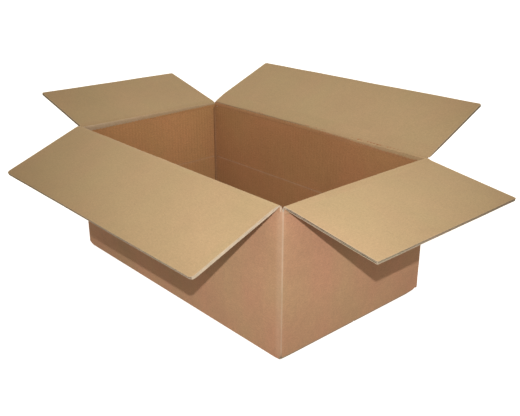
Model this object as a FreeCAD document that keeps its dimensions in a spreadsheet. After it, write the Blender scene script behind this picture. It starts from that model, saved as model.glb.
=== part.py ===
"""Open cardboard box: one folded corrugated sheet with four hinged top flaps.

Millimetres, +Z up. The origin is on the floor at the middle of the box's footprint, the long walls
face -Y (front) and +Y (back), the short walls face -X (left) and +X (right).
"""

import FreeCAD, Part
import os

import Sketcher

# Driving dimensions: alias, value, meaning.
SIZES = [
    ("box_length", 608.0, "outside, over the two short walls"),
    ("box_width", 358.0, "outside, over the two long walls"),
    ("crease_height", 261.0, "floor to the flap creases, midway between long and short walls"),
    ("board", 4.0, "thickness of the single-wall board"),
    ("ply_gap", 0.3, "air between two boards that lie on each other"),
    ("flap_reach", 175.0, "crease to cut edge, the four top flaps"),
    ("bottom_seam", 2.0, "gap between the two long bottom flaps"),
    ("long_flap_setback", 3.5, "side of a long flap to the outside of the short wall"),
    ("short_flap_play", 0.6, "side of a short flap to the inside of the long wall"),
    ("crease_inset", 0.8, "fold line to the outside face of its wall"),
    ("crease_tip", 0.25, "board edge to the fold line"),
    ("hang_angle", 165.0, "upright flap to the same flap folded right back"),
    ("close_angle", 90.0, "upright flap to the same flap folded shut"),
    ("fold_play", 1.0, "angle left open at a crease at either end of its travel"),
    ("slot_below", 0.5, "top slots run this far below the crushed board of the short creases"),
    ("corner_outside", 3.5, "outside radius of the upright corner folds"),
    ("corner_inside", 0.8, "inside radius of the upright corner folds"),
    ("floor_fold", 2.0, "outside radius of the bottom folds"),
    ("bottom_slot", 6.5, "floor to the top of the slots between the bottom flaps"),
    ("score_height", 130.0, "floor to the score line round the inside"),
    ("score_width", 3.0, "width of that score"),
    ("score_depth", 0.8, "depth of that score"),
    ("tab_width", 35.0, "glue tab of the maker's joint, on the inside of the back wall"),
    ("tab_board", 3.0, "crushed board of the glue tab"),
    ("tab_low", 14.0, "floor to the foot of the glue tab"),
    ("tab_high", 246.0, "floor to the head of the glue tab"),
    ("tab_slant", 9.0, "how far the tab's ends slope"),
    ("front_droop", 21.9, "front flap, degrees below level"),
    ("right_droop", 8.4, "right flap, degrees below level"),
    ("left_rise", 14.4, "left flap, degrees above level"),
    ("back_rise", 23.2, "back flap, degrees above level"),
]

# Places worked out from the driving dimensions, as expressions on the sheet.
HALF_LENGTH = "Sizes.box_length / 2"
HALF_WIDTH = "Sizes.box_width / 2"
INSIDE_X = f"({HALF_LENGTH} - Sizes.board)"
INSIDE_Y = f"({HALF_WIDTH} - Sizes.board)"
PLY_STEP = "(Sizes.board + Sizes.ply_gap)"
LONG_CREASE = f"(Sizes.crease_height + {PLY_STEP} / 2)"
SHORT_CREASE = f"(Sizes.crease_height - {PLY_STEP} / 2)"
LONG_FLAP_LENGTH = "Sizes.box_length - 2 * Sizes.long_flap_setback"
SHORT_FLAP_LENGTH = "Sizes.box_width - 2 * (Sizes.board + Sizes.short_flap_play)"
INNER_BOARD = "(Sizes.board - Sizes.crease_inset)"
# Slopes of the crushed board beside a fold line, as angles from the board's own direction.
OUTER_SLOPE = "((180 - Sizes.hang_angle - Sizes.fold_play) / 2)"
INNER_SLOPE = "((180 - Sizes.close_angle - Sizes.fold_play) / 2)"
OUTER_TAPER = f"(Sizes.crease_inset / tan({OUTER_SLOPE}))"
INNER_BEVEL = f"({INNER_BOARD} / tan({INNER_SLOPE}))"
TIP_OUTER = f"(Sizes.crease_tip * tan({OUTER_SLOPE}))"
TIP_INNER = f"(Sizes.crease_tip * tan({INNER_SLOPE}))"
SLOT_FLOOR = f"({SHORT_CREASE} - {OUTER_TAPER} - Sizes.slot_below)"
# The four bottom flaps are all as long, from the outside of their wall: the long ones just meet.
BOTTOM_REACH = f"({HALF_WIDTH} - Sizes.bottom_seam / 2)"
# How far one stage of the walls runs into the next.
LAP = "2"

LONG_WALLS = "YZ_Plane"
SHORT_WALLS = "XZ_Plane"
FLOOR = "XY_Plane"
FRONT, BACK = -1, 1
LEFT, RIGHT = -1, 1


def make_sheet(doc):
    """Puts the driving dimensions in a spreadsheet, one named cell each."""
    sheet = doc.addObject("Spreadsheet::Sheet", "Sizes")
    for row, (alias, value, meaning) in enumerate(SIZES, start=1):
        sheet.set(f"A{row}", alias)
        sheet.set(f"B{row}", str(value))
        sheet.set(f"C{row}", meaning)
        sheet.setAlias(f"B{row}", alias)
    doc.recompute()
    return sheet


def number(sheet, expression):
    """The present value of an expression on the sheet."""
    value = sheet.evalExpression(expression)
    return float(getattr(value, "Value", value))


def make_body(doc, name):
    body = doc.addObject("PartDesign::Body", name)
    body.Label = name
    return body


def make_sketch(body, name, plane, lift=None):
    """An empty sketch on one of the body's own planes, raised along its normal by lift."""
    sketch = body.newObject("Sketcher::SketchObject", name)
    support = [f for f in body.Origin.OriginFeatures if f.Role == plane][0]
    sketch.AttachmentSupport = [(support, "")]
    sketch.MapMode = "FlatFace"
    if lift:
        sketch.setExpression("AttachmentOffset.Base.z", lift)
    return sketch


def add_outline(sheet, sketch, corners):
    """A closed outline of straight lines: each corner is dimensioned from the sketch's origin."""
    spots = [FreeCAD.Vector(number(sheet, x), number(sheet, y), 0) for x, y in corners]
    first = sketch.GeometryCount
    count = len(spots)
    for i in range(count):
        sketch.addGeometry(Part.LineSegment(spots[i], spots[(i + 1) % count]), False)
    for i in range(count):
        following = first + (i + 1) % count
        sketch.addConstraint(Sketcher.Constraint("Coincident", first + i, 2, following, 1))
    for i, corner in enumerate(corners):
        for kind, expression, value in (
            ("DistanceX", corner[0], spots[i].x),
            ("DistanceY", corner[1], spots[i].y),
        ):
            index = sketch.addConstraint(Sketcher.Constraint(kind, -1, 1, first + i, 1, value))
            label = f"{kind}_{first + i}"
            sketch.renameConstraint(index, label)
            sketch.setExpression(f"Constraints.{label}", expression)


def add_rectangle(sheet, sketch, half_x, half_y):
    add_outline(
        sheet,
        sketch,
        [
            (f"-({half_x})", f"-({half_y})"),
            (half_x, f"-({half_y})"),
            (half_x, half_y),
            (f"-({half_x})", half_y),
        ],
    )


def pad(body, name, sketch, length, both_ways=False):
    feature = body.newObject("PartDesign::Pad", name)
    feature.Profile = sketch
    if both_ways:
        feature.SideType = "Symmetric"
    feature.setExpression("Length", length)
    sketch.Visibility = False
    return feature


def pocket(body, name, sketch, length):
    """Cuts the sketch's outline away, half of the length to each side of its plane."""
    feature = body.newObject("PartDesign::Pocket", name)
    feature.Profile = sketch
    feature.SideType = "Symmetric"
    feature.setExpression("Length", length)
    sketch.Visibility = False
    return feature


def round_edges(doc, body, name, radius, wanted):
    """Rounds the edges of the body so far whose midpoint and direction suit wanted()."""
    doc.recompute()
    base = body.Tip
    names = []
    for i, edge in enumerate(base.Shape.Edges, start=1):
        ends = [vertex.Point for vertex in edge.Vertexes]
        if len(ends) == 2 and wanted((ends[0] + ends[1]) * 0.5, ends[1] - ends[0]):
            names.append(f"Edge{i}")
    fillet = body.newObject("PartDesign::Fillet", name)
    fillet.Base = (base, names)
    fillet.setExpression("Radius", radius)


def wall_top(side, outside, crease):
    """Section of a wall's crushed top edge below its crease; side is -1 or 1 along the sketch's x."""
    fold_line = f"({outside} - Sizes.crease_inset)"
    inside = f"({outside} - Sizes.board)"
    foot = f"{SLOT_FLOOR} - {LAP}"
    section = [
        (outside, foot),
        (outside, f"{crease} - {OUTER_TAPER}"),
        (f"{fold_line} + {TIP_OUTER}", f"{crease} - Sizes.crease_tip"),
        (f"{fold_line} - {TIP_INNER}", f"{crease} - Sizes.crease_tip"),
        (inside, f"{crease} - {INNER_BEVEL}"),
        (inside, foot),
    ]
    return [(f"{side} * ({x})", y) for x, y in section]


def bottom_fold(side, outside, level):
    """Section of a wall's foot and the bottom flap folded in from it, its underside at level."""
    inside = f"({outside} - Sizes.board)"
    flap_end = f"({outside} - {BOTTOM_REACH})"
    head = f"Sizes.bottom_slot + {LAP}"
    section = [
        (outside, head),
        (outside, level),
        (flap_end, level),
        (flap_end, f"{level} + Sizes.board"),
        (inside, f"{level} + Sizes.board"),
        (inside, head),
    ]
    return [(f"{side} * ({x})", y) for x, y in section]


def score_line(side, inside):
    """Section of the score pressed into a wall's inside face at half height."""
    clear_of_corner = f"{inside} - 2 * Sizes.corner_inside"
    lower = "Sizes.score_height - Sizes.score_width / 2"
    upper = "Sizes.score_height + Sizes.score_width / 2"
    section = [
        (clear_of_corner, lower),
        (inside, lower),
        (f"{inside} + Sizes.score_depth", "Sizes.score_height"),
        (inside, upper),
        (clear_of_corner, upper),
    ]
    return [(f"{side} * ({x})", y) for x, y in section]


def add_walls(doc, sheet, body):
    """The four walls between the top and bottom slots, folded round at the corners."""
    ring = make_sketch(body, "wall_ring_sketch", FLOOR, lift="Sizes.bottom_slot")
    add_rectangle(sheet, ring, HALF_LENGTH, HALF_WIDTH)
    add_rectangle(sheet, ring, INSIDE_X, INSIDE_Y)
    pad(body, "wall_ring", ring, f"{SLOT_FLOOR} - Sizes.bottom_slot")
    half_length = number(sheet, HALF_LENGTH)
    board = number(sheet, "Sizes.board")

    def upright(direction):
        return abs(direction.z) > direction.Length * 0.999

    def outer(mid, direction):
        return upright(direction) and abs(mid.x) > half_length - board / 2

    def inner(mid, direction):
        return upright(direction) and abs(mid.x) < half_length - board / 2

    round_edges(doc, body, "outer_corner_folds", "Sizes.corner_outside", outer)
    round_edges(doc, body, "inner_corner_folds", "Sizes.corner_inside", inner)


def add_top_edges(sheet, body):
    """The walls' top edges between the slots, crushed to a fold line."""
    for name, plane, outside, crease, length in (
        ("long_wall_tops", LONG_WALLS, HALF_WIDTH, LONG_CREASE, LONG_FLAP_LENGTH),
        ("short_wall_tops", SHORT_WALLS, HALF_LENGTH, SHORT_CREASE, SHORT_FLAP_LENGTH),
    ):
        sketch = make_sketch(body, f"{name}_sketch", plane)
        for side in (-1, 1):
            add_outline(sheet, sketch, wall_top(side, outside, crease))
        pad(body, name, sketch, length, both_ways=True)


def add_bottom_flaps(doc, sheet, body):
    """The bottom flaps, folded in and glued shut: short ones inside, long ones under them."""
    for name, plane, outside, level, length in (
        ("long_bottom_flaps", LONG_WALLS, HALF_WIDTH, "0", LONG_FLAP_LENGTH),
        ("short_bottom_flaps", SHORT_WALLS, HALF_LENGTH, PLY_STEP, SHORT_FLAP_LENGTH),
    ):
        sketch = make_sketch(body, f"{name}_sketch", plane)
        for side in (-1, 1):
            add_outline(sheet, sketch, bottom_fold(side, outside, level))
        pad(body, name, sketch, length, both_ways=True)
    half_length = number(sheet, HALF_LENGTH)
    half_width = number(sheet, HALF_WIDTH)
    short_level = number(sheet, PLY_STEP)
    near = 0.01

    def fold(mid, direction):
        long_one = abs(mid.z) < near and abs(abs(mid.y) - half_width) < near
        short_one = abs(mid.z - short_level) < near and abs(abs(mid.x) - half_length) < near
        return abs(direction.z) < near and (long_one or short_one)

    round_edges(doc, body, "bottom_folds", "Sizes.floor_fold", fold)


def add_scores(sheet, body):
    """The score line that runs round the inside at half height."""
    for name, plane, inside, length in (
        ("long_wall_scores", LONG_WALLS, INSIDE_Y, f"2 * {INSIDE_X}"),
        ("short_wall_scores", SHORT_WALLS, INSIDE_X, f"2 * {INSIDE_Y}"),
    ):
        sketch = make_sketch(body, f"{name}_sketch", plane)
        for side in (-1, 1):
            add_outline(sheet, sketch, score_line(side, inside))
        pocket(body, name, sketch, length)


def add_glue_tab(sheet, body):
    """The maker's joint: a tab from the right wall, glued over the back wall and its score."""
    glue_face = f"({INSIDE_Y} + Sizes.score_depth)"
    sketch = make_sketch(body, "glue_tab_sketch", SHORT_WALLS, lift=f"-{glue_face}")
    free_edge = f"{INSIDE_X} - Sizes.tab_width"
    add_outline(
        sheet,
        sketch,
        [
            (INSIDE_X, "Sizes.tab_low"),
            (INSIDE_X, "Sizes.tab_high"),
            (free_edge, "Sizes.tab_high - Sizes.tab_slant"),
            (free_edge, "Sizes.tab_low + Sizes.tab_slant"),
        ],
    )
    pad(body, "glue_tab", sketch, "Sizes.tab_board + Sizes.score_depth")


def make_box_body(doc, sheet):
    """The folded sheet without its top flaps."""
    body = make_body(doc, "box_body")
    add_walls(doc, sheet, body)
    add_top_edges(sheet, body)
    add_bottom_flaps(doc, sheet, body)
    add_scores(sheet, body)
    add_glue_tab(sheet, body)
    return body


def make_flap(doc, sheet, name, plane, side, length, crease_spot, axis, turn):
    """A top flap: drawn upright on its fold line, then turned about it to where it stands open."""
    body = make_body(doc, name)
    sketch = make_sketch(body, f"{name}_sketch", plane)
    outer = "Sizes.crease_inset"
    inner = f"-{INNER_BOARD}"
    section = [
        (inner, "Sizes.flap_reach"),
        (outer, "Sizes.flap_reach"),
        (outer, OUTER_TAPER),
        (TIP_OUTER, "Sizes.crease_tip"),
        (f"-{TIP_INNER}", "Sizes.crease_tip"),
        (inner, INNER_BEVEL),
    ]
    add_outline(sheet, sketch, [(f"{side} * ({x})", y) for x, y in section])
    pad(body, f"{name}_board", sketch, length, both_ways=True)
    body.Placement = FreeCAD.Placement(FreeCAD.Vector(0, 0, 0), FreeCAD.Rotation(axis, 1.0))
    for component, expression in crease_spot.items():
        body.setExpression(f"Placement.Base.{component}", expression)
    body.setExpression("Placement.Rotation.Angle", turn)
    return body


def make_flaps(doc, sheet):
    """The four top flaps. A turn of 0 stands a flap upright in line with its wall."""
    x_axis = FreeCAD.Vector(1, 0, 0)
    y_axis = FreeCAD.Vector(0, 1, 0)
    long_line = f"({HALF_WIDTH} - Sizes.crease_inset)"
    short_line = f"({HALF_LENGTH} - Sizes.crease_inset)"
    return [
        make_flap(
            doc, sheet, "front_flap", LONG_WALLS, FRONT, LONG_FLAP_LENGTH,
            {"y": f"-{long_line}", "z": LONG_CREASE}, x_axis, "90 + Sizes.front_droop",
        ),
        make_flap(
            doc, sheet, "back_flap", LONG_WALLS, BACK, LONG_FLAP_LENGTH,
            {"y": long_line, "z": LONG_CREASE}, -x_axis, "90 - Sizes.back_rise",
        ),
        make_flap(
            doc, sheet, "left_flap", SHORT_WALLS, LEFT, SHORT_FLAP_LENGTH,
            {"x": f"-{short_line}", "z": SHORT_CREASE}, -y_axis, "90 - Sizes.left_rise",
        ),
        make_flap(
            doc, sheet, "right_flap", SHORT_WALLS, RIGHT, SHORT_FLAP_LENGTH,
            {"x": short_line, "z": SHORT_CREASE}, y_axis, "90 + Sizes.right_droop",
        ),
    ]


def check(doc, bodies):
    """Stops with a plain message if an object failed or a shape is not one valid solid."""
    for item in doc.Objects:
        if "Invalid" in item.State or "Error" in item.State:
            raise RuntimeError(f"{item.Label} failed: {item.State}")
    for body in bodies:
        shape = body.Shape
        if shape.isNull() or not shape.isValid() or len(shape.Solids) != 1:
            raise RuntimeError(f"{body.Label} is not one valid solid")
        print(f"{body.Label}: {shape.Volume / 1000:.1f} cm3")


def main():
    doc = FreeCAD.newDocument("cardboard_box")
    sheet = make_sheet(doc)
    bodies = [make_box_body(doc, sheet)] + make_flaps(doc, sheet)
    doc.recompute()
    check(doc, bodies)
    os.makedirs("parts", exist_ok=True)
    for body in bodies:
        body.Shape.exportStep(f"parts/{body.Label}.step")


main()
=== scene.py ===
import math

import bmesh
import bpy
import numpy as np
from mathutils import Matrix, Vector

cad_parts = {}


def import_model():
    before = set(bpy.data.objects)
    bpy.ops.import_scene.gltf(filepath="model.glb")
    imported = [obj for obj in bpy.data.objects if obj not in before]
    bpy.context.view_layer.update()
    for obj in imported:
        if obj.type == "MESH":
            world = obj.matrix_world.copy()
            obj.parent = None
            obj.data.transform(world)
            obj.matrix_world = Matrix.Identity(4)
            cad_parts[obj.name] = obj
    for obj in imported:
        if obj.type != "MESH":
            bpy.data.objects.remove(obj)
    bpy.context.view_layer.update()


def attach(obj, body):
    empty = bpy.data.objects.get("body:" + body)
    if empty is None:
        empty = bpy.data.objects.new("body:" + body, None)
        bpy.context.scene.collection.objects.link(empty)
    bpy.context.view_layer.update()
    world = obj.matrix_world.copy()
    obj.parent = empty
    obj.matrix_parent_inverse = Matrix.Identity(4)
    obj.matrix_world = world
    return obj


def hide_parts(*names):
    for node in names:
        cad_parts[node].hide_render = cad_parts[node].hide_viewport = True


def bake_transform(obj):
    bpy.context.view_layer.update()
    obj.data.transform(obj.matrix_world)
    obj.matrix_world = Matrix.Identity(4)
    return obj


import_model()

MM = 0.001

# The board and the box, in millimetres, as the CAD source has them
BOARD = 4.0
PITCH = 7.9                 # one flute to the next
INSET = 0.8                 # the fold line lies this far inside the wall's outside face
REACH = 175.0               # a flap, from its fold line to its free edge
UPPER = 3.2                 # a flap's inside face above its fold line
FLAPS = {
    # name: (point on the fold line, outward, half the flap's length, droop in degrees)
    "front_flap": ((0, -178.2, 263.15), (0, -1, 0), 300.5, 21.9),
    "back_flap": ((0, 178.2, 263.15), (0, 1, 0), 300.5, -23.2),
    "left_flap": ((-303.2, 0, 258.85), (-1, 0, 0), 174.4, -14.4),
    "right_flap": ((303.2, 0, 258.85), (1, 0, 0), 174.4, 8.4),
}


# Materials

def node(tree, kind, inputs=None, **settings):
    made = tree.nodes.new("ShaderNode" + kind)
    for name, value in settings.items():
        setattr(made, name, value)
    for name, value in (inputs or {}).items():
        if isinstance(value, bpy.types.NodeSocket):
            tree.links.new(value, made.inputs[name])
        else:
            made.inputs[name].default_value = value
    return made


def scaled(tree, vector, x, y, z=1.0):
    return node(tree, "Mapping", {"Vector": vector, "Scale": (x, y, z)}).outputs[0]


def noise(tree, vector, scale, detail=3.0, rough=0.55, low=0.3, high=0.7):
    """A noise from 0 to 1, stretched between the two values of Blender's own."""
    raw = node(tree, "TexNoise", {"Vector": vector, "Scale": scale, "Detail": detail, "Roughness": rough})
    return node(tree, "MapRange", {"Value": raw.outputs[0], "From Min": low, "From Max": high}).outputs[0]


def math_node(tree, operation, a, b=0.0, c=0.0, clamp=False):
    return node(tree, "Math", {0: a, 1: b, 2: c}, operation=operation, use_clamp=clamp).outputs[0]


def mixed(tree, factor, a, b, blend="MIX"):
    return node(tree, "Mix", {0: factor, 6: a, 7: b}, data_type="RGBA", blend_type=blend).outputs[2]


# Paler marks mix towards a pale colour, for wear and in places for painted light; dark marks mix towards near black,
# mostly painted shade in creases, grooves, recesses and holes.
PALE_WEAR_AND_PAINTED_LIGHT, DARK_TONE_AND_PAINTED_SHADE, FLECK = (0.70, 0.59, 0.47, 1), (0.050, 0.024, 0.012, 1), (0.10, 0.055, 0.028, 1)


def around(tree, factor, amount):
    """A grey from a little under 1 to a little over it, to multiply a colour by."""
    return mixed(tree, factor, (1 - amount,) * 3 + (1,), (1 + amount,) * 3 + (1,))


def paper(name, colour, spread=0.13, flutes=0.03, rough=0.78, bump=0.35, specular=0.45, drift=0.05,
          speckle=0.07, other=None):
    """Kraft paper: cloudy formation, fibres along the machine direction, flecks, and bands of painted shade over the
    flutes beneath.

    The map "marks" says where it is paler (u), for wear and in places painted light, and where darker (v), mostly
    painted shade; "liner" says how far it has the other colour (u), the flaps' colour above the painted shade of the
    box's inside.
    """
    material = bpy.data.materials.new(name)
    material.use_nodes = True
    tree = material.node_tree
    shader = tree.nodes["Principled BSDF"]
    dark = tuple(c * (1 - spread) for c in colour)
    pale = tuple(min(1.0, c * (1 + spread) + 0.02) for c in colour)
    place = node(tree, "UVMap", uv_map="board").outputs[0]
    clouds = noise(tree, place, 7.0, 2.0)
    formation = noise(tree, scaled(tree, place, 1.0, 0.8), 75.0, 4.0, 0.62)
    fibres = noise(tree, scaled(tree, place, 0.34, 1.0), 900.0, 3.0, 0.6)
    grain = noise(tree, scaled(tree, place, 0.7, 1.0), 330.0, 2.0, 0.7, 0.25, 0.75)
    flecks = noise(tree, scaled(tree, place, 0.5, 1.0), 520.0, 1.0, 0.5, 0.69, 0.76)
    hue = noise(tree, scaled(tree, place, 1.0, 0.6), 11.0, 2.0, 0.5, 0.35, 0.65)
    # Painted shade: the colour is darkened in a band over each flute, as much as flutes says.
    wave = node(tree, "TexWave", {"Vector": place, "Scale": 2.0 * math.pi / (20.0 * PITCH * MM), "Distortion": 0.0},
                wave_type="BANDS", bands_direction="X", wave_profile="SIN").outputs["Fac"]
    shade = math_node(tree, "MULTIPLY_ADD", formation, 0.5, math_node(tree, "MULTIPLY", clouds, 0.5))
    tone = mixed(tree, shade, (*dark, 1), (*pale, 1))
    tone = mixed(tree, 0.45, (*colour, 1), tone)
    marks = node(tree, "SeparateXYZ", {0: node(tree, "UVMap", uv_map="marks").outputs[0]}).outputs
    if other:
        share = node(tree, "SeparateXYZ", {0: node(tree, "UVMap", uv_map="liner").outputs[0]}).outputs[0]
        low, high = (tuple(c * (1 + side * 0.45 * spread) for c in other) + (1,) for side in (-1, 1))
        tone = mixed(tree, share, tone, mixed(tree, shade, low, high))
    warm, cool = (1 + drift, 1 - 0.6 * drift, 1 - 0.2 * drift, 1), (1 - drift, 1 + 0.3 * drift, 1 - drift, 1)
    tone = mixed(tree, 1.0, tone, mixed(tree, hue, warm, cool), "MULTIPLY")
    tone = mixed(tree, 1.0, tone, around(tree, grain, speckle), "MULTIPLY")
    fine = noise(tree, place, 680.0, 1.0, 0.5, 0.25, 0.75)
    tone = mixed(tree, 1.0, tone, around(tree, fine, speckle), "MULTIPLY")
    tone = mixed(tree, math_node(tree, "MULTIPLY", fibres, 0.16), tone, (*pale, 1))
    tone = mixed(tree, math_node(tree, "MULTIPLY", flecks, 0.22), tone, FLECK)
    tone = mixed(tree, math_node(tree, "MULTIPLY", wave, flutes), tone, (*dark, 1))
    ragged = math_node(tree, "MULTIPLY_ADD", formation, 0.5, 0.72)
    tone = mixed(tree, math_node(tree, "MULTIPLY", marks[0], ragged, clamp=True), tone, PALE_WEAR_AND_PAINTED_LIGHT)
    tone = mixed(tree, math_node(tree, "MULTIPLY", marks[1], ragged, clamp=True), tone, DARK_TONE_AND_PAINTED_SHADE)
    tree.links.new(tone, shader.inputs["Base Color"])
    height = math_node(tree, "MULTIPLY_ADD", fibres, 0.4, math_node(tree, "MULTIPLY", formation, 0.6))
    relief = node(tree, "Bump", {"Height": height, "Strength": bump, "Distance": 0.00035})
    tree.links.new(relief.outputs[0], shader.inputs["Normal"])
    tree.links.new(math_node(tree, "MULTIPLY_ADD", formation, 0.1, rough - 0.05), shader.inputs["Roughness"])
    shader.inputs["Specular IOR Level"].default_value = specular
    shader.inputs["Diffuse Roughness"].default_value = 0.9
    return material


# The flaps' top and the box's inside are one liner. It has KRAFT on the flaps, a darker, redder copy in painted shade
# inside the box, and on the left wall's inside a copy painted lighter than the other walls' for the light it catches.
KRAFT = (0.463, 0.330, 0.187)
FLAP = paper("kraft_liner_flaps", KRAFT, drift=0.02, speckle=0.09)
LINING = {"spread": 0.2, "flutes": 0.09, "drift": 0.03, "speckle": 0.15, "other": KRAFT}
INSIDE_PAINTED_SHADE = paper("kraft_liner_inside_painted_shade", (0.393, 0.193, 0.081), **LINING)
INSIDE_LEFT_PAINTED_LIGHTER = paper("kraft_liner_left_wall_painted_lighter", (0.537, 0.290, 0.127), **LINING)
OUTER = paper("kraft_liner_outside", (0.483, 0.282, 0.169), spread=0.24, flutes=0.01, speckle=0.11)
WORN = paper("kraft_worn_fold", (0.52, 0.335, 0.215), rough=0.88, bump=0.6)
CUT = paper("cut_board_edge", (0.44, 0.36, 0.28), spread=0.3, flutes=0.0, rough=0.9)


# Meshes

class Sheet:
    """Gathers grids of points in millimetres, each with its place on the flat board, and makes one mesh of them."""

    def __init__(self, name):
        self.name, self.points, self.places, self.faces, self.kinds, self.caps = name, [], [], [], [], []
        self.marks, self.liners = [], []

    def grid(self, points, places, kind, paler=0.0, dark=0.0, liner=0.0):
        rows, columns = points.shape[:2]
        layers = [np.broadcast_to(np.asarray(a, float), (rows, columns)).reshape(-1) for a in (paler, dark, liner)]
        self.marks.append(np.stack(layers[:2], -1))
        self.liners.append(np.stack([layers[2], 0 * layers[2]], -1))
        first = sum(len(p) for p in self.points)
        self.points.append(points.reshape(-1, 3))
        self.places.append(places.reshape(-1, 2))
        index = first + np.arange(rows * columns).reshape(rows, columns)
        corners = np.stack([index[:-1, :-1], index[:-1, 1:], index[1:, 1:], index[1:, :-1]], -1).reshape(-1, 4)
        self.faces.append(corners)
        self.kinds.append(np.full(len(corners), kind))

    def cap(self, loop, kind, paler=0.0, dark=0.0):
        """A flat end, filled across its outline."""
        self.marks.append(np.tile([float(paler), float(dark)], (len(loop), 1)))
        self.liners.append(np.zeros((len(loop), 2)))
        first = sum(len(p) for p in self.points)
        self.points.append(np.array(loop))
        self.places.append(np.stack([loop[:, 0] + loop[:, 1], loop[:, 2]], -1))
        self.caps.append((list(range(first, first + len(loop))), kind))

    def make(self, materials, body, node_name=None, sharp=40.0):
        points, places = np.concatenate(self.points) * MM, np.concatenate(self.places) * MM
        faces, kinds = np.concatenate(self.faces), np.concatenate(self.kinds)
        corners = np.concatenate([faces.ravel()] + [np.array(c, int) for c, _ in self.caps])
        kinds = np.concatenate([kinds, [k for _, k in self.caps]])
        mesh = bpy.data.meshes.new(self.name)
        mesh.from_pydata(points.tolist(), [], faces.tolist() + [c for c, _ in self.caps])
        maps = {"board": places, "marks": np.concatenate(self.marks), "liner": np.concatenate(self.liners)}
        for title, values in maps.items():
            layer = mesh.uv_layers.new(name=title)
            layer.data.foreach_set("uv", values[corners].astype(np.float32).ravel())
        mesh.polygons.foreach_set("material_index", kinds.astype(np.int32))
        for m in materials:
            mesh.materials.append(m)
        shape = bmesh.new()
        shape.from_mesh(mesh)
        bmesh.ops.remove_doubles(shape, verts=shape.verts, dist=0.002 * MM)
        bmesh.ops.recalc_face_normals(shape, faces=shape.faces)
        shape.to_mesh(mesh)
        shape.free()
        mesh.shade_smooth()
        mesh.set_sharp_from_angle(angle=math.radians(sharp))
        piece = bpy.data.objects.new(self.name, mesh)
        bpy.context.scene.collection.objects.link(piece)
        if body:
            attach(piece, body)
        if node_name:
            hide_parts(node_name)
        return piece


def ramp(low, high, value):
    t = np.clip((value - low) / (high - low), 0.0, 1.0)
    return t * t * (3 - 2 * t)


def wobble(seed, value, size):
    """A smooth irregular line along value, about 1 high, with features of that size."""
    rng = np.random.default_rng(seed)
    total = 0.0
    for k in (1.0, 1.9, 3.7):
        total = total + np.sin(2 * np.pi * value * k / size + rng.uniform(0, 6.28)) * rng.uniform(0.4, 1.0) / k
    return total / 1.6


def flap_frame(name):
    point, outward, half, droop = FLAPS[name]
    out, up = np.array(outward, float), np.array([0.0, 0.0, 1.0])
    a = math.radians(droop)
    reach = out * math.cos(a) - up * math.sin(a)
    normal = up * math.cos(a) + out * math.sin(a)
    along = np.cross(reach, normal)
    return np.array(point, float), along, reach, normal, half


def flute_ends(s, n, seed):
    """How deep a cut across the flutes lies, in millimetres: the liners and the wave stand, the channels go in."""
    middle = 1.2
    crest = middle + 1.25 * np.sin(2 * np.pi * s / PITCH + 0.35 * wobble(seed, s, 90.0))
    off = np.abs(n - crest)
    channel = ramp(0.35, 0.8, off) * ramp(1.75, 1.3, np.abs(n - middle))
    return 1.5 * channel + 0.12 * np.abs(wobble(seed + 1, s + 5 * n, 11.0))


def cut_side(v, n, seed):
    """The same for a cut along the flutes: two liners with the ragged edge of the wave between them."""
    middle = 1.2 + 0.55 * wobble(seed, v, 150.0)
    core = ramp(1.7, 1.25, np.abs(n - 1.2)) * (1.0 - 0.75 * ramp(0.75, 0.3, np.abs(n - middle)))
    return 0.9 * core * (0.75 + 0.25 * wobble(seed + 1, v, 34.0)) + 0.14 * np.abs(wobble(seed + 2, v + 4 * n, 17.0))


# How far each end of a flap lies off its place, along it, and the radius of its outer corners
ENDS = {"front_flap": (3.0, 0.0), "back_flap": (0.0, 3.2)}
ROUND = {"front_flap": 8.0, "back_flap": 4.0, "left_flap": 4.0, "right_flap": 3.0}


def pressed(name, s):
    """How far a crease is pressed flat, 0 to 1.

    The two that meet at the near corner are, most of all there, and the back one's right half.
    """
    half = FLAPS[name][2]
    if name == "front_flap":
        return np.clip(0.5 - 0.5 * s / half, 0, 1)
    if name == "back_flap":
        return ramp(0, 150, s)
    return np.clip(s / half, 0, 1) if name == "right_flap" else 0.0 * s


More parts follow.
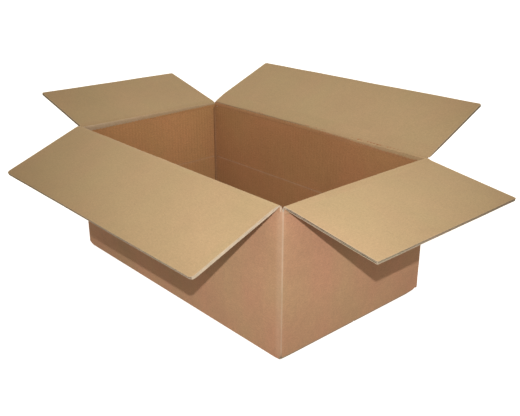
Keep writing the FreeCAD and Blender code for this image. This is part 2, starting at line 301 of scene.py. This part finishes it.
def make_flap(name, seed):
    point, along, reach, normal, half = flap_frame(name)
    near, far = ENDS.get(name, (0.0, 0.0))
    radius = ROUND[name]
    columns = 8 * int(round(2 * half / PITCH))
    s = np.linspace(-half, half, columns + 1)
    v = np.array([0.4, 1.0, 1.8, 2.6, 3.4, 4.6, 6.5, 9, 14, 22, 34, 48, 62, 76, 90, 104, 118, 132, 146, 158,
                  166, 168, 169.6, 171, 172.4, 173.6, 174.4, REACH])

    def place(s, v, n):
        a, b = (np.clip((x - limit + radius) / radius, 0, 1) for x, limit in ((np.abs(s), half), (v, REACH)))
        longer = near * ramp(-0.9, -1.0, s / half) + far * ramp(0.9, 1.0, s / half) * ramp(190, 20, v)
        v = v + radius * (b * np.sqrt(1 - a * a / 2) - b)
        s = s + np.sign(s) * radius * (a * np.sqrt(1 - b * b / 2) - a)
        sway = 0.7 * wobble(seed + 20, s + 0.6 * v, 420.0) * ramp(15, 120, v)
        return point + (s + longer)[..., None] * along + v[..., None] * reach + (n + sway)[..., None] * normal

    def faces_at(s, v):
        wash = 0.022 * np.sin(2 * np.pi * s / PITCH) * ramp(REACH + 4, REACH - 14, v) * ramp(2.0, 10.0, v)
        crushed = 0.05 * ramp(REACH - 1.6, REACH, v)
        top = 0.55 + (UPPER - 0.55) * ramp(0.0, 5.2 + 4.0 * pressed(name, s), v)
        if name == "back_flap":
            top = -0.08 + 3.28 * np.clip(v / 28.0, 0, 1) ** 0.8
        top = top + wash - crushed
        side = 0.8 if name == "front_flap" else 0.2
        flared = 0.6 * ramp(REACH - 3, REACH, v) + side * ramp(half - 3, half, np.abs(s)) * ramp(2, 12, v)
        low = -0.12 - (INSET - 0.12) * ramp(0.0, 6.5, v) + wash - flared
        return top, low

    sheet = Sheet(name + "_board")
    S, V = np.meshgrid(s, v)
    top, low = faces_at(S, V)
    flat = np.stack([S + 400 * seed, V], -1)
    rim = 0.28 * ramp(half - 2.2, half - 0.4, np.abs(S)) + 0.12 * ramp(REACH - 2.2, REACH - 0.4, V)
    sheet.grid(place(S, V, top), flat, 0, rim)
    sheet.grid(place(S, V, low), flat + 90, 1)
    share = np.array([0, 0.07, 0.14, 0.23, 0.32, 0.41, 0.5, 0.59, 0.68, 0.77, 0.86, 0.93, 1.0])
    S, K = np.meshgrid(s, share)
    top, low = faces_at(S, np.full_like(S, REACH))
    n = top + (low - top) * K
    fade = ramp(half, half - 2.0, np.abs(S)) * ramp(0, 0.08, K) * ramp(1, 0.92, K)
    deep = fade * flute_ends(S, n, seed)
    # The cut end is darkened a little all over, and more where the flute channels go in: painted shade in the recesses.
    sheet.grid(place(S, REACH - deep, n), np.stack([S, n], -1), 2, 0.05, 0.12 + 0.35 * ramp(0.5, 1.5, deep))
    for side in (-1, 1):
        V, K = np.meshgrid(v, share)
        top, low = faces_at(np.full_like(V, side * half), V)
        n = top + (low - top) * K
        fade = ramp(REACH, REACH - 2.0, V) * ramp(0, 0.08, K) * ramp(1, 0.92, K) * ramp(1.0, 5.0, V)
        deep = fade * cut_side(V, n, seed + 7 + side) * (0.35 if name == "front_flap" else 1.0)
        # Painted shade: a dark band down the core between the liners where it is cut deeper in, and dark spots at
        # random along the edge for the shade of small nicks. The front flap's side edges are made paler than the other
        # flaps'.
        side_paleness = 0.72 if name == "front_flap" else 0.08
        nick_shade = ramp(0.62, 0.95, wobble(seed + 60, V + 3 * n, 21.0)) * 0.5
        core_shade = (0.15 if name == "front_flap" else 0.9) * ramp(0.1, 0.6, deep)
        pale = side_paleness * (0.75 + 0.25 * wobble(seed + 50, V, 13.0))
        sheet.grid(place(side * (half - deep), V, n), np.stack([V, n], -1), 2, pale, np.clip(core_shade + nick_shade, 0, 1))
    V = np.full((2, len(s)), v[0])
    S = np.stack([s, s])
    top, low = faces_at(s, V[0])
    sheet.grid(place(S, V, np.stack([top, low])), np.stack([S, V], -1), 2)
    return sheet.make([FLAP, OUTER, CUT], name, name)


for number, name in enumerate(FLAPS):
    make_flap(name, number + 1)

# The box's walls and bottom

WALLS = (
    # outward, along, outside face's distance, half length outside, half the panel, fold line's height, underside
    ((0, -1), (1, 0), 179.0, 304.0, 300.5, 263.15, 0.0),
    ((1, 0), (0, 1), 304.0, 179.0, 174.4, 258.85, 4.3),
    ((0, 1), (-1, 0), 179.0, 304.0, 300.5, 263.15, 0.0),
    ((-1, 0), (0, -1), 304.0, 179.0, 174.4, 258.85, 4.3),
)
SLOT_FLOOR, FOOT_SLOT = 251.8, 6.5
NOTCH, SIDE_TOP = 252.8, 261.0  # a slot's lowest point at the fold, and how high the torn board stands beside it
CORNER, STRIP = 3.5, 6.0        # outside radius of a vertical fold, and how far its crushed strip reaches inside
SCORE = 130.0


def wall_points(out, along, distance, s, q, z):
    """Points from a wall's own numbers: s along it, q outward from its outside face, z up."""
    s, q, z = np.broadcast_arrays(np.asarray(s, float), q, z)
    x = out[0] * (distance + q) + along[0] * s
    y = out[1] * (distance + q) + along[1] * s
    return np.stack([x, y, z], -1)


def outside(wall, number, t, z):
    """The outside face, with the washboard of the flutes and a slight bow."""
    out, along, distance, _, panel = wall[:5]
    t, z = np.broadcast_arrays(t, z)
    inside_ends = ramp(1.0, 0.93, np.abs(t))
    bow = 0.45 * wobble(40 + number, t * panel, 700.0) * np.sin(np.pi * z / 262.0) * inside_ends
    wash = 0.015 * np.sin(2 * np.pi * t * panel / PITCH) * ramp(1.0, 0.98, np.abs(t))
    return wall_points(out, along, distance, t * panel, bow + wash, z)


def inside(wall, number, t, z):
    """The inside face, washboarded more plainly, with the score line round it at half height."""
    out, along, distance, half, panel = wall[:5]
    t, z = np.broadcast_arrays(t, z)
    reach = half - BOARD - STRIP
    fade = ramp(1.0, 0.985, np.abs(t))
    bow = 0.45 * wobble(40 + number, t * panel, 700.0) * np.sin(np.pi * z / 262.0) * ramp(1.0, 0.93, np.abs(t))
    phase = 2 * np.pi * t * reach / PITCH + 0.3 * wobble(60 + number, t * reach, 120.0)
    wash = (0.06 + 0.06 * (number % 2 == 0)) * np.sin(phase) * fade
    line = SCORE + 0.35 * wobble(70 + number, t * reach, 140.0) * fade
    score = 0.3 * np.exp(-(((z - line + 1.6) / 0.7) ** 2)) - 0.5 * np.exp(-(((z - line - 0.6) / 1.5) ** 2))
    return wall_points(out, along, distance, t * reach, -BOARD + bow + wash + score, z)


def corner_columns(wall, following):
    """The plan of a vertical fold: its outside arc, and inside it a groove with a crushed strip beside it."""
    out, along = np.array(wall[0], float), np.array(wall[1], float)
    half, distance = wall[3], wall[2]
    centre = out * (distance - CORNER) + along * (half - CORNER)
    turn = np.linspace(0, np.pi / 2, 9)
    tight = CORNER * (1 + 0.16 * np.sin(2 * turn) ** 2)
    arc = centre + tight[:, None] * (np.cos(turn)[:, None] * out + np.sin(turn)[:, None] * along)
    first = out * distance + along * wall[4]
    last = along * half + out * following[4]
    rim = np.concatenate([[first], arc, [last]])
    keep = [0] + [k for k in range(1, len(rim)) if np.hypot(*(rim[k] - rim[k - 1])) > 1e-3]
    rim = rim[keep]
    inner = out * (distance - BOARD) + along * (half - BOARD)
    path = np.array([(-STRIP, 0), (-4.4, 0.05), (-3.2, 0.5), (-1.6, 1.7), (-0.6, 2.2), (1.3, 2.5),
                     (1.6, 3.0), (1.1, 3.5), (-0.1, 3.9), (0, 4.8), (0, STRIP)])
    core = np.array([inner + p[0] * along - p[1] * out for p in path])
    where = np.linspace(0, len(core) - 1, len(rim))
    core = np.stack([np.interp(where, np.arange(len(core)), core[:, k]) for k in (0, 1)], -1)
    return rim, core, inner


def make_body():
    sheet = Sheet("box_body_board")
    run = 0.0
    low_z = np.array([8, 15, 30, 60, 95, 130, 165, 200, 228, 243, 251.0])
    high_z = np.array([14, 24, 50, 85, 112, 122, 126.4, 127.4, 128.0, 128.6, 129.2, 130, 130.8, 131.8, 133.2,
                       135, 138, 160, 190, 220, 238, 247, 251.0])
    for number, wall in enumerate(WALLS):
        out, along, distance, half, panel, crease, under = wall
        count = 6 * int(round(2 * panel / PITCH))
        t = np.linspace(-1, 1, count + 1)
        s = t * panel
        u = run + panel + s

        def flat(rows, shift=0.0):
            U, R = np.meshgrid(u, np.asarray(rows, float))
            return np.stack([U, R + shift], -1)

        T, Z = np.meshgrid(t, low_z)
        rubbed = 0.13 * ramp(panel - 13, panel - 3, T * panel) * (number == 0)
        rubbed = rubbed + 0.08 * ramp(2 - panel, -panel, T * panel)
        sheet.grid(outside(wall, number, T, Z), flat(low_z), 1, rubbed)
        T, Z = np.meshgrid(t, high_z)
        line = SCORE + 0.35 * wobble(70 + number, T * panel, 140.0)
        below = np.exp(-(((Z - line + 1.6) / 1.3) ** 2))
        sheet.grid(inside(wall, number, T, Z), flat(high_z, 700), 4 if number == 3 else 0, 0.2 * below)

        # The wall's top, up to the fold line and down the crushed inside of it
        q = np.array([0, 0, -0.3, -0.62, -1.0, -2.2, -3.5, -4.0])
        z = crease + np.array([-9.5, -6.5, -2.5, -0.3, -0.3, -1.7, -3.2, -5.0])
        rows = [outside(wall, number, t, 251.0)]
        drop = max(0.0, crease - 0.3 - SIDE_TOP) * ramp(panel - 4.5, panel, np.abs(s))
        rows += [wall_points(out, along, distance, s, a, b - drop * ramp(251, crease - 2, b)) for a, b in zip(q, z)]
        rows += [inside(wall, number, t, 251.0)]
        rows = np.stack(rows)
        end = ramp(panel - 5.0, panel - 2.0, np.abs(s))[None]
        beside = 0.45 * ramp(panel - 10.0, panel - 4.0, s if number == 0 else -s)[None] * (number < 2)
        pale = 0.6 * end * np.array([[0], [0], [0.5], [1]]) + beside * np.array([[0], [0.5], [1], [1]])
        sheet.grid(rows[:4], flat([251, 254, 257, 260]), 1, pale)
        sheet.grid(rows[3:], flat(np.linspace(960, 976, len(rows) - 3)), 0, 0.8 * end)
        for side in (0, -1):
            sheet.cap(rows[:, side], 2, 0.3)

        # The bottom: round the fold, in along the flap to its edge, and back over it
        turn = np.linspace(0, np.pi / 2, 5)
        q = list(-2 + 2 * np.cos(turn))
        q += [-8, -30, -75, -125, -165, -177.4, -178, -178, -178, -177.4, -165, -125, -75, -30, -8, -5.2, -4.2]
        z = list(under + 2 - 2 * np.sin(turn)) + [under] * 5
        z += [under + 0.12, under + 0.5, under + 2, under + 3.5, under + 3.88] + [under + 4] * 5
        z += [under + 4.3, under + 5.4]
        # The corners are worn up off the floor, the near one least
        lift = np.where(s * (1 - 2 * number) > 0, 1.2 if number < 2 else 5.0, 5.0)
        rows = [outside(wall, number, t, 8.0)]
        for a, b in zip(q, z):
            wash = 0.08 * np.sin(2 * np.pi * s / PITCH) * (-170 < a < -6)
            wash = wash + lift * ramp(panel - 15, panel, np.abs(s)) ** 2 * ramp(-14, 0, a) * ramp(under + 4, under, b)
            rows.append(wall_points(out, along, distance, s, a, b + wash))
        rows.append(inside(wall, number, t, 14.0))
        rows = np.stack(rows)
        path = np.concatenate([[8.0, 7.0], -np.abs(np.array(q[1:]))])
        sheet.grid(rows[:13], flat(path[:13]), 1)
        sheet.grid(rows[12:15], flat([300, 302, 304]), 2)
        sheet.grid(rows[14:], flat(np.linspace(400, 600, len(rows) - 14)), 0)
        for side in (0, -1):
            sheet.cap(rows[:, side], 2)

        # The vertical fold after this wall
        following = WALLS[(number + 1) % 4]
        rim, core, inner = corner_columns(wall, following)
        steps = np.concatenate([[0], np.cumsum(np.hypot(*np.diff(rim, axis=0).T))])
        U = run + 2 * panel + steps
        run = U[-1]

        def upright(plan, z):
            P = np.broadcast_to(plan[None], (len(z), *plan.shape))
            return np.concatenate([P, np.broadcast_to(z[:, None, None], (len(z), len(plan), 1))], -1)

        z = np.concatenate([[FOOT_SLOT], low_z, [SLOT_FLOOR]])
        shell = upright(rim, z)
        across = np.linspace(-1, 1, len(rim))
        sides = np.where(across < 0, min(SIDE_TOP, crease - 0.3), min(SIDE_TOP, following[5] - 0.3))
        vee = NOTCH + (sides - NOTCH) * np.abs(across) ** 0.75
        shell[-1, :, 2] = vee
        crush = 0.3 * wobble(90 + number, z, 60.0)[:, None] * np.sin(np.pi * np.linspace(0, 1, len(rim)))[None]
        diagonal = (np.array(out, float) + np.array(along, float)) / math.sqrt(2)
        shell[..., :2] -= np.abs(crush[..., None]) * diagonal
        where = np.stack(np.meshgrid(U, z), -1)
        fold = len(rim) // 2
        rubbed = (0.42 if number == 0 else 0.2) * np.exp(-((across / 0.42) ** 2))
        rubbed = (rubbed + 0.13 * (number == 0) * ramp(0.1, -0.3, across))[None]
        rubbed = rubbed * (0.72 + 0.28 * ramp(60, 240, z) + 0.12 * wobble(95 + number, z, 70.0))[:, None]
        # Painted shade: the fold's outside is darkened at its foot, where the slot between the bottom flaps leaves a
        # hole.
        foot_shade = 0.85 * ramp(9.0, 7.0, z)[:, None] * np.exp(-((across / 0.5) ** 2))[None]
        for low, high, kind in ((0, fold, 1), (fold - 1, fold + 2, 3), (fold + 1, len(rim), 1)):
            sheet.grid(shell[:, low:high], where[:, low:high], kind, rubbed[:, low:high], foot_shade[:, low:high])
        z2 = np.concatenate([[FOOT_SLOT], high_z, [SLOT_FLOOR]])
        middle = np.linspace(0, 1, len(core))
        liner = upright(core, z2)
        liner[-1, :, 2] = vee
        grow = 1.0 + 0.45 * ramp(132.0, 126.0, z2)[:, None, None]
        fade = np.sin(np.pi * np.linspace(0, 1, len(core)))[None, :, None] > 0.05
        moved = inner + (liner[..., :2] - inner) * np.where(fade, grow, 1.0)
        reach = np.abs(moved - inner).max(-1, keepdims=True)
        liner[..., :2] = np.where(reach > STRIP - 0.3, liner[..., :2], moved)
        # Painted shade: dark down the groove of the inside corner, faint near the top and strongest below 195 mm; the
        # crushed strip beside it is a little paler.
        groove = np.exp(-(((middle - 0.6) / 0.10) ** 2))[None] * (0.10 + 0.62 * ramp(240, 195, z2))[:, None]
        strip = np.exp(-(((middle - 0.36) / 0.12) ** 2))[None] * 0.08 * ramp(250, 225, z2)[:, None]
        sheet.grid(liner, np.stack(np.meshgrid(U, z2 + 700), -1), 0, strip, groove)
        for top in (0, -1):
            edge = np.stack([np.stack([U, 0 * U], -1), np.stack([U, 0 * U + 4], -1)])
            # Painted shade: the cut face at the foot slot is darkened for the hole there; the near corner's top end is
            # paler.
            sheet.grid(np.stack([shell[top], liner[top]]), edge, 2, 0.3 * (top == -1 and number == 0), 0.8 * (top == 0))
    return sheet.make([INSIDE_PAINTED_SHADE, OUTER, CUT, WORN, INSIDE_LEFT_PAINTED_LIGHTER], "box_body", "box_body")


make_body()


def make_glue_tab():
    """The tab glued inside the back right corner, its ends cut at a slant."""
    sheet = Sheet("glue_tab")
    x, k = np.linspace(265, 299.2, 27), np.linspace(0, 1, 25)
    X, K = np.meshgrid(x, k)
    slant = 9.0 * (300 - X) / 35
    Z = 14 + slant + K * (232 - 2 * slant)
    edge = ramp(0, 0.8, X - 265) * ramp(0, 0.01, K) * ramp(1, 0.99, K)
    Y = 172.05 + 0.10 * np.sin(2 * np.pi * X / PITCH) + 0.18 * wobble(5, Z, 150.0) + 0.5 * (1 - edge)
    front = np.stack([X, Y, Z], -1)
    back = np.stack([X, np.full_like(Y, 175.15), Z], -1)
    places = np.stack([X, Z + 1300], -1)
    # A pale spot on the tab, near its upper end away from the corner.
    pale_spot = np.exp(-(((X - 267.5) / 1.6) ** 2 + ((Z - 235) / 2.2) ** 2))
    sheet.grid(front, places, 1, np.clip(1.4 * pale_spot, 0, 1))
    sheet.grid(back, places, 1)
    for a, b in ((front[0], back[0]), (front[-1], back[-1]),
                 (front[:, 0], back[:, 0]), (front[:, -1], back[:, -1])):
        sheet.grid(np.stack([a, (a + b) / 2, b]), np.stack([a[:, [0, 2]]] * 3), 2)
    sheet.make([INSIDE_PAINTED_SHADE, INSIDE_PAINTED_SHADE, CUT], "box_body")


make_glue_tab()


# The creases

# The wall's side of each, as (outward, up) from the fold line, and the flap's, as (along the flap, above it)
BACK_FLAP_SIDE = [(0.5, 0.12), (4.0, 0.76), (10.0, 1.5), (16.0, 2.15), (22.0, 2.75), (28.0, 3.28)]
CREASES = {
    "front_flap": ([(-3.22, -12.5), (-3.25, -10.5), (-3.6, -6.5), (-3.3, -3.2), (-2.4, -0.6), (-0.6, 0.9)],
                   [(1.6, 2.1), (4.0, 3.0), (8.0, 3.28), (12.0, 3.24)]),
    "right_flap": ([(-3.22, -9.0), (-3.25, -6.5), (-3.55, -2.0), (-3.5, 1.6), (-2.7, 3.9), (-1.2, 4.75)],
                   [(1.6, 4.6), (5.0, 3.95), (9.0, 3.4), (13.0, 3.24)]),
    "back_flap": ([(-3.22, -13.0), (-3.1, -11.2), (-3.1, -10.2), (-4.1, -8.6), (-4.2, -6.4), (-3.7, -3.8),
                   (-2.9, -2.1), (-1.9, -1.6)], BACK_FLAP_SIDE),
    "left_flap": ([(-3.22, -9.5), (-3.7, -7.5), (-4.3, -4.6), (-4.2, -1.6), (-3.3, 0.6), (-1.6, 2.0)],
                  [(0.9, 2.5), (4.0, 3.1), (8.0, 3.27), (12.0, 3.24)]),
}
# The same where the fold is pressed flat
PRESSED = {
    "back_flap": ([(-3.22, -13.0), (-3.4, -11.4), (-3.5, -9.8), (-3.55, -8.0), (-3.6, -5.4), (-3.6, -3.6),
                   (-3.0, -2.2), (-1.8, -1.8)], BACK_FLAP_SIDE),
    "front_flap": ([(-3.22, -12.5), (-3.25, -10.5), (-3.6, -7.0), (-3.5, -4.6), (-2.6, -2.6), (-1.0, -1.1)],
                   [(1.6, 1.0), (4.0, 2.1), (8.0, 3.1), (12.0, 3.24)]),
    "right_flap": ([(-3.22, -9.0), (-3.25, -6.5), (-3.6, -2.8), (-3.6, 0.2), (-2.9, 2.1), (-1.4, 3.1)],
                   [(1.4, 3.2), (5.0, 3.0), (9.0, 3.1), (13.0, 3.24)]),
}
# How far below the fold line the flaps' colour reaches on the inside before the painted shade of the box's inside
# begins: at places along the flap, from -1 to 1
TAN = {
    "back_flap": ([-1.0, 0.0, 0.35, 0.65, 1.0], [-1.9, -2.0, -4.6, -8.2, -9.5]),
    "left_flap": ([-1.0, 0.0, 1.0], [-9.0, -6.0, -2.5]),
    "front_flap": ([-1.0, 1.0], [-1.0, -1.0]),
    "right_flap": ([-1.0, 1.0], [2.5, 2.5]),
}


def through(points, count):
    """A smooth line through points of shape (rows, columns, 2), with as many steps between each two."""
    p = np.concatenate([2 * points[:1] - points[1:2], points, 2 * points[-1:] - points[-2:-1]])
    rows = []
    for k in range(1, len(p) - 2):
        for x in np.linspace(0, 1, count, endpoint=False):
            rows.append(0.5 * (2 * p[k] + (p[k + 1] - p[k - 1]) * x
                               + (2 * p[k - 1] - 5 * p[k] + 4 * p[k + 1] - p[k + 2]) * x ** 2
                               + (3 * p[k] - p[k - 1] - 3 * p[k + 1] + p[k + 2]) * x ** 3))
    rows.append(p[-2])
    return np.stack(rows)


def skin(name, suffix, line, thickness, half, seed, materials, count=3):
    """One liner across a fold, from the wall to the flap, shaped for the flap's present angle."""
    point, along, reach, normal, _ = flap_frame(name)
    out = np.array(FLAPS[name][1], float)
    up = np.array([0.0, 0.0, 1.0])
    s = np.linspace(-half + ENDS.get(name, (0, 0))[0], half, 6 * int(round(2 * half / PITCH)) + 1)
    wall_side, flap_side = line

    def row_of_controls(wall_side, flap_side):
        spots = [a * reach + b * normal for a, b in flap_side]
        return np.array([list(p) for p in wall_side] + [[spot @ out, spot @ up] for spot in spots])

    controls = np.repeat(row_of_controls(wall_side, flap_side)[:, None], len(s), 1)
    if suffix == "inside" and name in PRESSED:
        share = pressed(name, s)[None, :, None]
        controls = controls * (1 - share) + row_of_controls(*PRESSED[name])[:, None] * share
    middle = np.linspace(0, 1, len(controls))[:, None]
    lively = np.sin(np.pi * middle) ** 2
    if suffix == "inside":
        controls[..., 1] += lively * (0.22 * wobble(seed, s, 46.0) + 0.30 * wobble(seed + 1, s, 170.0))[None]
        controls[..., 0] -= lively * (0.12 * np.sin(2 * np.pi * s / PITCH) + 0.15 * wobble(seed + 2, s, 23.0))[None]
    face = through(controls, count)
    step = np.gradient(face, axis=0)
    away = np.stack([step[..., 1], -step[..., 0]], -1)
    away /= np.linalg.norm(away, axis=-1, keepdims=True)
    depth = np.full(len(face), thickness)
    if suffix == "inside":
        depth += 2.0 * np.sin(np.pi * np.linspace(0, 1, len(face))) ** 2
    back = face + depth[:, None, None] * away
    loop = np.concatenate([face, back[::-1], face[:1]])
    world = point + s[None, :, None] * along + loop[..., :1] * out + loop[..., 1:] * up
    length = np.concatenate([[0], np.cumsum(np.linalg.norm(np.diff(loop.mean(1), axis=0), axis=-1))])
    sheet = Sheet(name + "_crease_" + suffix)
    S, V = np.meshgrid(s, length)
    places, turn = np.stack([S + 400 * seed, V], -1), count * (len(wall_side) - 1)
    tan, dark, pale = 0.0 * S, 0.0 * S, 0.0 * S
    if suffix == "inside":
        # tan: where the crease's inside has the flaps' colour instead of the inside's painted shade, with a ragged edge
        # on the left and back creases
        ragged = 0.7 * np.sin(2 * np.pi * s / PITCH) + 0.5 * wobble(seed + 4, s, 60.0)
        edge = np.interp(s / half, *TAN[name]) + ragged * (name in ("left_flap", "back_flap"))
        tan = ramp(-1.1, 1.1, loop[..., 1] - edge)
        # Painted shade: a dark line along the back crease's valley, strongest on its left and gone on its right.
        if name == "back_flap":
            fold = 0.5 * ramp(70, -40, s)
            dark = fold * np.exp(-(((loop[..., 1] + 1.7 - 0.3 * wobble(seed + 5, s, 90.0)) / 0.7) ** 2))
        dark[len(face):] = 0
        # Painted light: the left crease's band in the flaps' colour, steep and shaded there, is made paler, most
        # towards its front end; the back crease is a little paler all over.
        pale = tan * (0.2 + 0.3 * ramp(0.3, -1.0, s / half)) * (name == "left_flap") + 0.03 * (name == "back_flap")
    near = slice(turn + 1)
    sheet.grid(world[near], places[near], 0, pale[near], dark[near], tan[near])
    sheet.grid(world[turn:], places[turn:], 2, 0, dark[turn:], tan[turn:])
    for side in (0, -1):
        sheet.cap(world[:-1, side], 1, 0.3)
    piece = sheet.make(materials, None)
    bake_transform(piece)
    return piece


OUTER_LINE = ([(0.84, -11.0), (0.84, -8.0), (0.72, -5.0), (0.42, -1.4), (0.30, -0.45)],
              [(0.45, -0.30), (1.4, -0.42), (5.0, -0.72), (8.0, -0.84), (11.0, -0.84)])

for number, name in enumerate(FLAPS):
    half = FLAPS[name][2] - 0.3
    lining = INSIDE_LEFT_PAINTED_LIGHTER if name == "left_flap" else INSIDE_PAINTED_SHADE
    skin(name, "inside", CREASES[name], 0.5, half, 11 + 3 * number, [lining, CUT, FLAP])
    skin(name, "outside", OUTER_LINE, -0.4, half, 31 + 3 * number, [OUTER, CUT, OUTER], 2)


# Camera, lights and floor

PICTURE_WIDTH, FOCAL_LENGTH = 520.0, 690.378            # pixels
AZIMUTH, ELEVATION, ROLL = 48.07, 21.52, 0.093          # degrees
LOOKED_AT, DISTANCE = (0.034462, 0.01837, 0.130358), 1.355803
FLASH_AT, FLASH_TO = (0.965, -0.810, 0.715), (0.045, 0.065, 0.190)
FLASH_SIZE, FLASH_POWER, FLASH_CONE, FLASH_COLOUR = 0.006, 30.9, 46.0, (1.0, 0.99, 0.97)
SURROUNDINGS = (0.622, 0.559, 0.440)


def camera():
    data = bpy.data.cameras.new("camera")
    data.sensor_width, data.sensor_fit = 36.0, "HORIZONTAL"
    data.lens = FOCAL_LENGTH * 36.0 / PICTURE_WIDTH
    data.clip_start, data.clip_end = 0.02, 60.0
    a, e, r = (math.radians(x) for x in (AZIMUTH, ELEVATION, ROLL))
    back = Vector((math.sin(a) * math.cos(e), -math.cos(a) * math.cos(e), math.sin(e)))
    right = Vector((math.cos(a), math.sin(a), 0.0))
    up = back.cross(right)
    right, up = right * math.cos(r) + up * math.sin(r), up * math.cos(r) - right * math.sin(r)
    made = bpy.data.objects.new("camera", data)
    made.matrix_world = Matrix((right, up, back)).transposed().to_4x4()
    made.location = Vector(LOOKED_AT) + back * DISTANCE
    bpy.context.scene.collection.objects.link(made)
    bpy.context.scene.camera = made


def lamp(name, place, target, size, power, cone, colour=(1, 1, 1)):
    data = bpy.data.lights.new(name, "SPOT")
    data.shadow_soft_size, data.energy, data.color = size, power, colour
    data.spot_size, data.spot_blend = math.radians(cone), 1.0
    made = bpy.data.objects.new(name, data)
    made.location = place
    made.rotation_euler = (Vector(place) - Vector(target)).to_track_quat("Z", "Y").to_euler()
    bpy.context.scene.collection.objects.link(made)


def white_to_camera(tree):
    """1 for camera, glossy and transmission rays, 0 for the rays that light the object."""
    path = node(tree, "LightPath")
    seen = math_node(tree, "MAXIMUM", path.outputs["Is Camera Ray"], path.outputs["Is Glossy Ray"])
    return math_node(tree, "MAXIMUM", seen, path.outputs["Is Transmission Ray"])


def world(colour):
    made = bpy.data.worlds.new("studio")
    made.use_nodes = True
    tree = made.node_tree
    tree.nodes.clear()
    light = node(tree, "Background", {"Color": (*colour, 1), "Strength": 1.0})
    shown = node(tree, "Background", {"Color": (1, 1, 1, 1), "Strength": 1.0})
    both = node(tree, "MixShader", {0: white_to_camera(tree), 1: light.outputs[0], 2: shown.outputs[0]})
    node(tree, "OutputWorld", {"Surface": both.outputs[0]})
    bpy.context.scene.world = made


def floor():
    material = bpy.data.materials.new("floor")
    material.use_nodes = True
    tree = material.node_tree
    tree.nodes.clear()
    plain = node(tree, "BsdfDiffuse", {"Color": (0.6, 0.6, 0.6, 1)})
    pale = node(tree, "BsdfDiffuse", {"Color": (0.85, 0.85, 0.85, 1)})
    glow = node(tree, "Emission", {"Color": (1, 1, 1, 1), "Strength": 0.88})
    lifted = node(tree, "AddShader", {0: pale.outputs[0], 1: glow.outputs[0]})
    both = node(tree, "MixShader", {0: white_to_camera(tree), 1: plain.outputs[0], 2: lifted.outputs[0]})
    node(tree, "OutputMaterial", {"Surface": both.outputs[0]})
    mesh = bpy.data.meshes.new("floor")
    mesh.from_pydata([(-25, -25, 0), (25, -25, 0), (25, 25, 0), (-25, 25, 0)], [], [(0, 1, 2, 3)])
    mesh.materials.append(material)
    made = bpy.data.objects.new("floor", mesh)
    made.location.z = -0.0005
    bpy.context.scene.collection.objects.link(made)


camera()
lamp("flash", FLASH_AT, FLASH_TO, FLASH_SIZE, FLASH_POWER, FLASH_CONE, FLASH_COLOUR)
world(SURROUNDINGS)
floor()
bpy.context.scene.view_settings.view_transform = "Standard"
